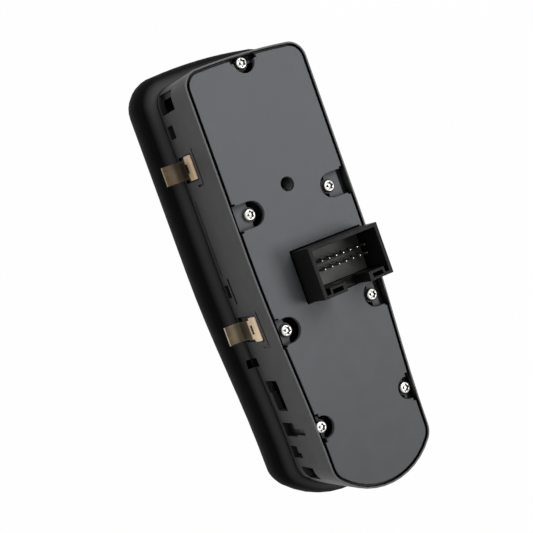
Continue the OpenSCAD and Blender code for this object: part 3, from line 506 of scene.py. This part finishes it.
@dataclass(frozen=True)
class StripSteel:
    """Rolled or plated strip metal.

    The scale is for coordinates in metres, and the streaks' depth is in millimetres. Stain and gloss_spread
    are how far the tone and the roughness swing to each side of their means.
    """

    name: str
    colour: Colour
    slot: str
    roughness: float = 0.35
    streak_scale: float = 2500.0
    streak_depth: float = 0.004
    stain: float = 0.12
    gloss_spread: float = 0.08
    depth: DeepShade = DeepShade(reach=1.2, darkest=0.06)
    # Ramps of painted light and shade over the colour
    levels: tuple[PaintedLightRamp, ...] = ()

    def build(self, groups: dict[str, bpy.types.NodeTree]) -> bpy.types.Material:
        """Makes the material.

        Args:
            groups: The shader groups by name.

        Returns:
            The material.
        """
        material, tree, shader = new_material(self.name)
        lines = tree.add("ShaderNodeGroup", node_tree=groups["rolled_streaks"])
        lines.inputs["Streak Scale"].default_value = self.streak_scale
        dark = scaled(self.colour, 1 - self.stain)
        light = scaled(self.colour, 1 + self.stain)
        tone = tinted(tree, lines.outputs["Stain"], dark, light)
        # Painted light and shade along the ramps, then painted shade in gaps, pockets and windows
        tone = with_painted_light(tree, groups, tone, self.levels)
        tree.join(shaded(tree, groups, tone, self.depth), shader.inputs["Base Color"])
        gloss = ranged(tree, lines.outputs["Streaks"], self.roughness - self.gloss_spread,
                       self.roughness + self.gloss_spread)
        tree.join(gloss, shader.inputs["Roughness"])
        shader.inputs["Metallic"].default_value = 1.0
        add_bump(tree, shader, lines.outputs["Streaks"], self.streak_depth)
        return material


@dataclass(frozen=True)
class SolderMask:
    """Green solder mask over copper tracks on a circuit board.

    Between and over_copper are the shares of the colour on every second field and over the tracks.
    Glossiest and dullest are the ends of the roughness.
    """

    name: str
    colour: Colour
    slot: str
    track_scale: float = 420.0
    track_gap: float = 0.03
    track_depth: float = 0.02
    between: float = 0.9
    over_copper: float = 1.7
    glossiest: float = 0.25
    dullest: float = 0.4
    depth: DeepShade = DeepShade(reach=20.0, closed=0.45, open=0.95, darkest=0.03)

    def build(self, groups: dict[str, bpy.types.NodeTree]) -> bpy.types.Material:
        """Makes the material.

        Args:
            groups: The shader groups by name.

        Returns:
            The material.
        """
        material, tree, shader = new_material(self.name)
        place = tree.add("ShaderNodeTexCoord").outputs["Object"]
        tracks = tree.add("ShaderNodeTexBrick", offset=0.35, squash=1.0)
        tracks.inputs["Scale"].default_value = self.track_scale
        tracks.inputs["Mortar Size"].default_value = self.track_gap
        for label, factor in (("Color1", 1.0), ("Color2", self.between), ("Mortar", self.over_copper)):
            tracks.inputs[label].default_value = (*scaled(self.colour, factor), 1.0)
        tree.join(place, tracks.inputs["Vector"])
        tree.join(shaded(tree, groups, tracks.outputs["Color"], self.depth), shader.inputs["Base Color"])
        grain = tree.add("ShaderNodeGroup", node_tree=groups["moulded_grain"])
        gloss = ranged(tree, grain.outputs["Gloss"], self.glossiest, self.dullest)
        tree.join(gloss, shader.inputs["Roughness"])
        add_bump(tree, shader, tracks.outputs["Fac"], self.track_depth)
        return material


def painted_shade_inwards(low: float, high: float, inner: float) -> PaintedLightRamp:
    """Painted shade that darkens towards the middle of the switch, the same on both sides.

    Args:
        low: Distance from the middle, in millimetres, up to which it is dark.
        high: Distance from which it is open.
        inner: Share of the colour that stays in the dark part.

    Returns:
        The tone.
    """
    return PaintedLightRamp(low, high, inner, 1.0, along=(1.0, 0.0, 0.0), mirrored=True)


class Finish(Enum):
    """Every finish of the switch."""

    # Housing: painted shade darkens the wall towards its foot by the bezel, and a painted highlight makes the
    # top of the rim three times lighter
    HOUSING = MouldedPlastic(
        "housing_plastic", (0.050, 0.050, 0.051), "housing_plastic", roughness=0.52, tone_spread=0.03,
        gloss_spread=0.03, specular=0.25, depth=DeepShade(closed=0.38, open=0.62, darkest=0.05),
        levels=(PaintedLightRamp(17.5, 23.5, 0.6, 1.0), PaintedLightRamp(41.6, 41.9, 1.0, 3.0)))
    # Cover: painted shade of the lamps' falloff, darker towards the narrow end and the +X side
    COVER = MouldedPlastic(
        "cover_plastic", (0.120, 0.127, 0.135), "cover_plastic", roughness=0.5, tone_spread=0.02,
        gloss_spread=0.02, specular=0.25,
        levels=(PaintedLightRamp(-15.0, 60.0, 1.0, 0.72, along=(0.5, -0.87, 0.0)),))
    CARRIER = MouldedPlastic(
        "carrier_plastic", (0.098, 0.098, 0.094), "carrier_plastic", roughness=0.5, specular=0.2,
        depth=DeepShade(reach=1.5, darkest=0.4))
    # Bezel: a painted sheen, up to twenty times lighter near the top of the roll beside the wall
    BEZEL = MouldedPlastic(
        "bezel_plastic", (0.006, 0.006, 0.0062), "bezel_plastic", roughness=0.6, specular=0.02,
        grain_scale=6000.0, depth=DeepShade(reach=1.5, closed=0.1, open=0.4),
        levels=(PaintedLightRamp(15.8, 18.8, 1.0, 20.0),))
    HEADER = MouldedPlastic(
        "connector_plastic", (0.0075, 0.0075, 0.007), "connector_plastic", roughness=0.42, specular=0.1)
    KEYS = MouldedPlastic(
        "key_plastic", (0.006, 0.006, 0.006), "key_plastic", roughness=0.5, specular=0.25,
        grain_scale=7000.0)
    ACETAL = MouldedPlastic(
        "inner_plastic", (0.5, 0.5, 0.46), "inner_plastic", roughness=0.35, grain_depth=0.006)
    CHIP = MouldedPlastic(
        "chip_case", (0.02, 0.02, 0.02), "chip_case", roughness=0.6, grain_depth=0.01)
    LED = MouldedPlastic(
        "led_resin", (0.75, 0.75, 0.6), "led", roughness=0.15, grain_depth=0.001)
    SILICONE = MouldedPlastic(
        "silicone", (0.42, 0.42, 0.4), "silicone", roughness=0.6, grain_depth=0.006)
    # Clips: one steel as a shaded copy for the upper clips and a lit copy for the lower clips. Both are
    # painted dark near the wall as painted shade, and the top of each fold is painted much lighter as a
    # painted highlight
    UPPER_CLIP = StripSteel(
        "upper_clip_steel", (0.30, 0.235, 0.16), "clip_steel", roughness=0.5,
        levels=(painted_shade_inwards(23.2, 26.4, 0.14), PaintedLightRamp(25.4, 25.9, 1.0, 11.0)))
    LOWER_CLIP = StripSteel(
        "lower_clip_steel", (0.46, 0.375, 0.265), "clip_steel", roughness=0.5,
        levels=(painted_shade_inwards(22.4, 25.2, 0.16), PaintedLightRamp(27.0, 28.0, 1.0, 9.0)))
    SCREW = StripSteel(
        "screw_steel", (0.52, 0.51, 0.49), "screw_steel", roughness=0.36, stain=0.06,
        depth=DeepShade(reach=1.2, darkest=0.2))
    # Pins: the tin is painted dark grey, as painted shade inside the connector's socket
    PINS = StripSteel(
        "tinned_pins", (0.26, 0.25, 0.23), "tinned_pins", roughness=0.4, stain=0.04,
        depth=DeepShade(reach=3.0, darkest=0.12))
    WIPER = StripSteel(
        "contact_brass", (0.75, 0.55, 0.3), "contact_brass", roughness=0.25, stain=0.06)
    CAN = StripSteel(
        "capacitor_can", (0.5, 0.5, 0.52), "can", roughness=0.3, stain=0.03)
    BOARD = SolderMask("solder_mask", (0.02, 0.11, 0.045), "board")


class Palette:
    """The finished materials, built once."""

    def __init__(self) -> None:
        """Builds the shader groups and every finish."""
        groups = {
            "moulded_grain": build_moulded_grain(),
            "rolled_streaks": build_rolled_streaks(),
            "level_tone": build_painted_light_ramp(),
            "deep_shade": build_deep_shade(),
        }
        self.materials = {finish: finish.value.build(groups) for finish in Finish}

    def paint(self, piece: bpy.types.Object, finish: Finish) -> None:
        """Gives a new piece its only material.

        Args:
            piece: The mesh object.
            finish: The finish to use.
        """
        piece.data.materials.clear()
        piece.data.materials.append(self.materials[finish])

    def repaint(self, node: str, finish: Finish) -> None:
        """Gives a CAD node a finish through its own material slots.

        Args:
            node: The node's name.
            finish: The finish to use.
        """
        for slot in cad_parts[node].material_slots:
            slot.material = self.materials[finish]


# Meshes


def new_piece(name: str, mesh: bmesh.types.BMesh, smooth_angle: float) -> bpy.types.Object:
    """Makes an object from a bmesh, smooth apart from its sharp edges.

    Args:
        name: The object's name.
        mesh: The shape. It is freed.
        smooth_angle: Edges that bend more than this, in degrees, stay sharp.

    Returns:
        The new object, linked to the scene.
    """
    limit = math.radians(smooth_angle)
    for face in mesh.faces:
        face.smooth = True
    for edge in mesh.edges:
        edge.smooth = len(edge.link_faces) == 2 and edge.calc_face_angle(0.0) < limit
    data = bpy.data.meshes.new(name)
    mesh.to_mesh(data)
    mesh.free()
    piece = bpy.data.objects.new(name, data)
    bpy.context.scene.collection.objects.link(piece)
    return piece


def merged_copy(node: str) -> bmesh.types.BMesh:
    """Copies a CAD node's mesh, with its doubles merged and its flat faces in as few triangles as they need.

    Args:
        node: The node's name.

    Returns:
        The copy.
    """
    mesh = bmesh.new()
    mesh.from_mesh(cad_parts[node].data)
    bmesh.ops.remove_doubles(mesh, verts=mesh.verts, dist=WELD)
    bmesh.ops.dissolve_limit(mesh, angle_limit=FLAT, verts=mesh.verts, edges=mesh.edges,
                             use_dissolve_boundaries=False, delimit={"NORMAL"})
    bmesh.ops.triangulate(mesh, faces=[face for face in mesh.faces if len(face.verts) > 4])
    return mesh


def round_edges(mesh: bmesh.types.BMesh, width: float, segments: int, angle: float,
                shortest: float) -> None:
    """Rounds the sharp edges of a merged copy.

    Args:
        mesh: The shape, changed in place.
        width: Width of the rounding, in metres.
        segments: Faces across the rounding.
        angle: Edges that bend more than this, in degrees, are rounded.
        shortest: Edges shorter than this, in metres, are left sharp.
    """
    limit = math.radians(angle)
    joined = [edge for edge in mesh.edges if len(edge.link_faces) == 2]
    edges = [edge for edge in joined if edge.calc_face_angle(0.0) > limit and edge.calc_length() > shortest]
    bmesh.ops.bevel(mesh, geom=edges, offset=width, offset_type="OFFSET", segments=segments, profile=0.5,
                    affect="EDGES", clamp_overlap=False, material=-1, miter_outer="ARC")
    bmesh.ops.dissolve_degenerate(mesh, dist=SLIVER, edges=mesh.edges)


@dataclass
class RoundedCopy:
    """A CAD node shown with softened edges in a finish.

    Edges that bend more than angle and are longer than shortest are rounded to the width. The angles are in
    degrees.
    """

    node: str
    body: str
    finish: Finish
    width: float = 0.15 * MM
    segments: int = 2
    angle: float = 40.0
    shortest: float = 0.5 * MM
    smooth_angle: float = 35.0

    def build(self, palette: Palette) -> bpy.types.Object:
        """Makes the copy, dresses it and lets it stand for the node.

        Args:
            palette: The finished materials.

        Returns:
            The new piece.
        """
        mesh = merged_copy(self.node)
        if self.width > 0:
            round_edges(mesh, self.width, self.segments, self.angle, self.shortest)
        piece = new_piece(self.node + "_dressed", mesh, self.smooth_angle)
        piece.modifiers.new("flat_faces", "WEIGHTED_NORMAL").keep_sharp = True
        palette.paint(piece, self.finish)
        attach(piece, self.body)
        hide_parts(self.node)
        log.info("%s: %d faces", piece.name, len(piece.data.polygons))
        return piece


@dataclass
class CoverScrews:
    """Pan-head screws with a six-lobed recess, in the places of the CAD screws."""

    node: str = "cover_screws"
    head_radius: float = 1.9 * MM
    head_height: float = 1.3 * MM
    # Shares of the head's radius and height at each ring of the dome
    dome: tuple[tuple[float, float], ...] = (
        (0.97, 0.0), (1.0, 0.12), (1.0, 0.6), (0.96, 0.78), (0.88, 0.92), (0.76, 0.99))
    recess_radius: float = 1.12 * MM
    recess_depth: float = 0.9 * MM
    recess_mouth: float = 1.06
    recess_floor: float = 0.96
    mouth_depth: float = 0.08 * MM
    lobe: float = 0.14
    pin_radius: float = 0.42 * MM
    pin_taper: float = 0.8
    pin_sink: float = 0.6
    shank_radius: float = 0.85 * MM
    shank_taper: float = 0.6
    thread_radius: float = 1.0 * MM
    thread_root: float = 0.8
    thread_pitch: float = 0.9 * MM
    thread_half: float = 0.3
    thread_start: float = 0.6 * MM
    thread_end: float = 1.0 * MM
    thread_steps: int = 20
    steps: int = 48
    turn_apart: float = 0.7
    places: list[Vector] = field(default_factory=list)
    floor: float = 0.0
    tip: float = 0.0

    def find_places(self) -> None:
        """Reads each screw's axis and its seat from the CAD node, in the order of the node's corners."""
        mesh = merged_copy(self.node)
        seen = set()
        for start in mesh.verts:
            if start in seen:
                continue
            island, waiting = set(), [start]
            while waiting:
                vert = waiting.pop()
                if vert in island:
                    continue
                island.add(vert)
                waiting.extend(edge.other_vert(vert) for edge in vert.link_edges)
            seen |= island
            low = Vector(min(vert.co[axis] for vert in island) for axis in range(3))
            high = Vector(max(vert.co[axis] for vert in island) for axis in range(3))
            self.places.append((low + high) / 2)
            self.floor = high.z - self.head_height
            self.tip = low.z
        mesh.free()

    def ring(self, mesh: bmesh.types.BMesh, radius: float, height: float,
             lobe: float) -> list[bmesh.types.BMVert]:
        """Adds a closed ring of edges.

        Args:
            mesh: The screw's shape.
            radius: Mean radius.
            height: Height above the screw's seat.
            lobe: Share of the radius by which six lobes swing in and out.

        Returns:
            The ring's corners in order.
        """
        corners = []
        for step in range(self.steps):
            turn = 2 * math.pi * step / self.steps
            reach = radius * (1 + lobe * math.cos(6 * turn))
            corners.append(mesh.verts.new((reach * math.cos(turn), reach * math.sin(turn), height)))
        for first, second in zip(corners, corners[1:] + corners[:1]):
            mesh.edges.new((first, second))
        return corners

    def head(self, mesh: bmesh.types.BMesh) -> None:
        """Adds the domed head with its recess.

        Args:
            mesh: The screw's shape, changed in place.
        """
        height = self.head_height
        rings = [self.ring(mesh, wide * self.head_radius, rise * height, 0.0) for wide, rise in self.dome]
        recess = ((self.recess_mouth, 0.0), (1.0, self.mouth_depth), (self.recess_floor, self.recess_depth))
        for wide, sink in recess:
            rings.append(self.ring(mesh, self.recess_radius * wide, height - sink, self.lobe))
        for first, second in zip(rings, rings[1:]):
            for step in range(self.steps):
                after = (step + 1) % self.steps
                mesh.faces.new((first[step], first[after], second[after], second[step]))
        mesh.faces.new(rings[0][::-1])
        mesh.faces.new(rings[-1])
        pin = bmesh.ops.create_cone(mesh, cap_ends=True, segments=20, radius1=self.pin_radius,
                                    radius2=self.pin_radius * self.pin_taper, depth=self.recess_depth)
        bmesh.ops.translate(mesh, verts=pin["verts"], vec=(0, 0, height - self.pin_sink * self.recess_depth))

    def shank(self, mesh: bmesh.types.BMesh) -> None:
        """Adds the core of the shank and the thread that winds round it.

        Args:
            mesh: The screw's shape, changed in place.
        """
        length = self.floor - self.tip
        core = bmesh.ops.create_cone(mesh, cap_ends=True, segments=24, depth=length,
                                     radius1=self.shank_radius * self.shank_taper, radius2=self.shank_radius)
        bmesh.ops.translate(mesh, verts=core["verts"], vec=(0, 0, -length / 2))
        turns = int((length - self.thread_end) / self.thread_pitch)
        half = self.thread_pitch * self.thread_half
        root = self.shank_radius * self.thread_root
        start = -length + self.thread_start
        low = mesh.verts.new((root, 0, start - half))
        crest = mesh.verts.new((self.thread_radius, 0, start))
        high = mesh.verts.new((root, 0, start + half))
        profile = [mesh.edges.new((low, crest)), mesh.edges.new((crest, high)), mesh.edges.new((high, low))]
        face = mesh.faces.new((low, crest, high))
        bmesh.ops.spin(mesh, geom=[face, *profile], cent=(0, 0, 0), axis=(0, 0, 1),
                       dvec=(0, 0, self.thread_pitch / self.thread_steps), angle=2 * math.pi * turns,
                       steps=turns * self.thread_steps, use_duplicate=False)

    def build(self, palette: Palette) -> bpy.types.Object:
        """Makes all the screws as one piece.

        Args:
            palette: The finished materials.

        Returns:
            The new piece.
        """
        self.find_places()
        whole = bmesh.new()
        for index, place in enumerate(self.places):
            screw = bmesh.new()
            self.head(screw)
            self.shank(screw)
            bmesh.ops.recalc_face_normals(screw, faces=screw.faces)
            bmesh.ops.rotate(screw, verts=screw.verts, cent=(0, 0, 0),
                             matrix=Matrix.Rotation(self.turn_apart * index, 3, "Z"))
            bmesh.ops.translate(screw, verts=screw.verts, vec=(place.x, place.y, self.floor))
            data = bpy.data.meshes.new("one_screw")
            screw.to_mesh(data)
            screw.free()
            whole.from_mesh(data)
            bpy.data.meshes.remove(data)
        piece = new_piece("cover_screws_dressed", whole, 40.0)
        palette.paint(piece, Finish.SCREW)
        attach(piece, Body.HOUSING.value)
        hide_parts(self.node)
        log.info("%s: %d screws", piece.name, len(self.places))
        return piece


# Studio


@dataclass(frozen=True)
class Lamp:
    """A square area lamp, with its place and side in metres and its power in watts."""

    name: str
    place: tuple[float, float, float]
    size: float
    power: float
    mirrored: bool = True

    def build(self) -> None:
        """Adds the lamp, turned towards the switch."""
        data = bpy.data.lights.new(self.name, "AREA")
        data.shape = "SQUARE"
        data.size = self.size
        data.energy = self.power
        lamp = bpy.data.objects.new(self.name, data)
        place = Vector(self.place)
        lamp.location = place
        lamp.visible_glossy = self.mirrored
        lamp.rotation_euler = (-place).to_track_quat("-Z", "Y").to_euler()
        bpy.context.scene.collection.objects.link(lamp)


@dataclass
class Studio:
    """Pale floor, soft lamps, white surroundings and the camera."""

    camera_place: Vector = field(default_factory=lambda: Vector((-0.1644, 0.0272, 0.3560)))
    camera_right: Vector = field(default_factory=lambda: Vector((0.8416, -0.3373, 0.4219)))
    camera_up: Vector = field(default_factory=lambda: Vector((0.3305, 0.9393, 0.0917)))
    lens: float = 80.2
    sensor: float = 36.0
    floor_size: float = 3.0
    floor_drop: float = 0.2 * MM
    floor_grey: float = 0.8
    floor_glow: float = 0.985
    soft_light: float = 0.08
    lamps: tuple[Lamp, ...] = (
        Lamp("key_lamp", (0.42, -0.16, 0.74), 0.3, 2.4),
        Lamp("top_lamp", (0.12, 0.20, 0.40), 0.25, 0.8),
        Lamp("side_lamp", (-0.74, 0.10, 0.30), 0.4, 1.1, mirrored=False))

    def add_camera(self) -> None:
        """Places the camera at the photograph's viewing angle."""
        data = bpy.data.cameras.new("photo_camera")
        data.lens = self.lens
        data.sensor_width = self.sensor
        data.clip_start = 0.01
        camera = bpy.data.objects.new("photo_camera", data)
        right, up = self.camera_right.normalized(), self.camera_up.normalized()
        turn = Matrix((right, up, right.cross(up))).transposed()
        camera.matrix_world = Matrix.Translation(self.camera_place) @ turn.to_4x4()
        bpy.context.scene.collection.objects.link(camera)
        bpy.context.scene.camera = camera

    def seen_directly(self, tree: NodeTree) -> bpy.types.NodeSocket:
        """A mask that is 1 for the camera's rays and for those that metal or glass sends on.

        Args:
            tree: The node helper of the floor's material or the world.

        Returns:
            The mask.
        """
        path = tree.add("ShaderNodeLightPath")
        seen = tree.math("MAXIMUM", path.outputs["Is Camera Ray"], path.outputs["Is Glossy Ray"])
        return tree.math("MAXIMUM", seen, path.outputs["Is Transmission Ray"])

    def add_floor(self) -> None:
        """Adds the pale floor, which looks white to the camera and still takes the shadow."""
        mesh = bmesh.new()
        bmesh.ops.create_grid(mesh, x_segments=1, y_segments=1, size=self.floor_size / 2)
        bmesh.ops.translate(mesh, verts=mesh.verts, vec=(0, 0, -self.floor_drop))
        data = bpy.data.meshes.new("floor")
        mesh.to_mesh(data)
        mesh.free()
        floor = bpy.data.objects.new("floor", data)
        bpy.context.scene.collection.objects.link(floor)
        material = bpy.data.materials.new("pale_floor")
        material.use_nodes = True
        material.node_tree.nodes.clear()
        tree = NodeTree(material.node_tree)
        matt = tree.add("ShaderNodeBsdfDiffuse")
        matt.inputs["Color"].default_value = (self.floor_grey, self.floor_grey, self.floor_grey, 1.0)
        glow = tree.add("ShaderNodeEmission")
        both = tree.add("ShaderNodeMixShader")
        tree.join(tree.math("MULTIPLY", self.seen_directly(tree), self.floor_glow), both.inputs[0])
        tree.join(matt.outputs[0], both.inputs[1])
        tree.join(glow.outputs[0], both.inputs[2])
        tree.join(both.outputs[0], tree.add("ShaderNodeOutputMaterial").inputs["Surface"])
        data.materials.append(material)

    def add_surroundings(self) -> None:
        """Lights the world softly, and white where the camera or a reflection sees it."""
        world = bpy.data.worlds.new("studio")
        world.use_nodes = True
        world.node_tree.nodes.clear()
        tree = NodeTree(world.node_tree)
        back = tree.add("ShaderNodeBackground")
        back.inputs["Color"].default_value = (1.0, 1.0, 1.0, 1.0)
        lit = tree.add("ShaderNodeMapRange")
        lit.inputs["To Min"].default_value = self.soft_light
        lit.inputs["To Max"].default_value = 1.0
        tree.join(self.seen_directly(tree), lit.inputs["Value"])
        tree.join(lit.outputs[0], back.inputs["Strength"])
        tree.join(back.outputs[0], tree.add("ShaderNodeOutputWorld").inputs["Surface"])
        bpy.context.scene.world = world

    def build(self) -> None:
        """Makes the whole studio."""
        bpy.context.scene.view_settings.view_transform = "Standard"
        self.add_camera()
        self.add_floor()
        self.add_surroundings()
        for lamp in self.lamps:
            lamp.build()


# The switch


@dataclass
class RearSide:
    """Housing, rear cover, connector, screws and spring clips, which the photograph shows."""

    body: str = Body.HOUSING.value

    def build(self, palette: Palette) -> None:
        """Dresses the whole wiring side.

        Args:
            palette: The finished materials.
        """
        RoundedCopy("switch_housing", self.body, Finish.HOUSING, width=0.14 * MM).build(palette)
        RoundedCopy("rear_cover", self.body, Finish.COVER, width=0.14 * MM).build(palette)
        RoundedCopy("connector_header", self.body, Finish.HEADER, width=0.12 * MM).build(palette)
        RoundedCopy("pin_carrier", self.body, Finish.CARRIER, width=0.1 * MM).build(palette)
        RoundedCopy("connector_pins", self.body, Finish.PINS, width=0.0).build(palette)
        CoverScrews().build(palette)
        for level, finish in (("upper", Finish.UPPER_CLIP), ("lower", Finish.LOWER_CLIP)):
            for side in Side:
                node = f"{level}_{side.name.lower()}_clip"
                RoundedCopy(node, self.body, finish, width=0.07 * MM, shortest=0.25 * MM).build(palette)


@dataclass
class FrontSide:
    """Bezel, rockers, knob and buttons, which face the user."""

    body: str = Body.HOUSING.value

    def build(self, palette: Palette) -> None:
        """Dresses the whole front.

        Args:
            palette: The finished materials.
        """
        RoundedCopy("front_bezel", self.body, Finish.BEZEL, width=0.1 * MM, angle=50.0).build(palette)
        for row in ("a", "b"):
            for side in Side:
                node = f"rocker_{row}_{side.name.lower()}"
                RoundedCopy(node, node, Finish.KEYS, width=0.25 * MM).build(palette)
        RoundedCopy("mirror_knob", Body.KNOB.value, Finish.KEYS, width=0.2 * MM).build(palette)
        for node in ("mirror_left_button", "mirror_right_button", "lockout_button"):
            RoundedCopy(node, node, Finish.KEYS, width=0.2 * MM).build(palette)


@dataclass
class InnerWorks:
    """Board, sliders, wipers and the other pieces inside, which keep their CAD shapes."""

    finishes: dict[str, Finish] = field(default_factory=lambda: {
        "circuit_board": Finish.BOARD,
        "control_chip": Finish.CHIP,
        "buffer_capacitor": Finish.CAN,
        "backlight_leds": Finish.LED,
        "mirror_key_mat": Finish.SILICONE,
        "lockout_key_pad": Finish.SILICONE,
        "gimbal_ring": Finish.ACETAL,
        "knob_actuator": Finish.ACETAL,
    })

    def build(self, palette: Palette) -> None:
        """Gives each inner node its finish.

        Args:
            palette: The finished materials.
        """
        for node, finish in self.finishes.items():
            palette.repaint(node, finish)
        for row in ("a", "b"):
            for side in Side:
                palette.repaint(f"slider_{row}_{side.name.lower()}", Finish.ACETAL)
                palette.repaint(f"wiper_{row}_{side.name.lower()}", Finish.WIPER)


def main() -> None:
    """Builds the switch and the studio."""
    logging.basicConfig(level=logging.INFO)
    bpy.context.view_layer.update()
    palette = Palette()
    RearSide().build(palette)
    FrontSide().build(palette)
    InnerWorks().build(palette)
    Studio().build()
    bpy.context.view_layer.update()


if __name__ == "__main__":
    main()
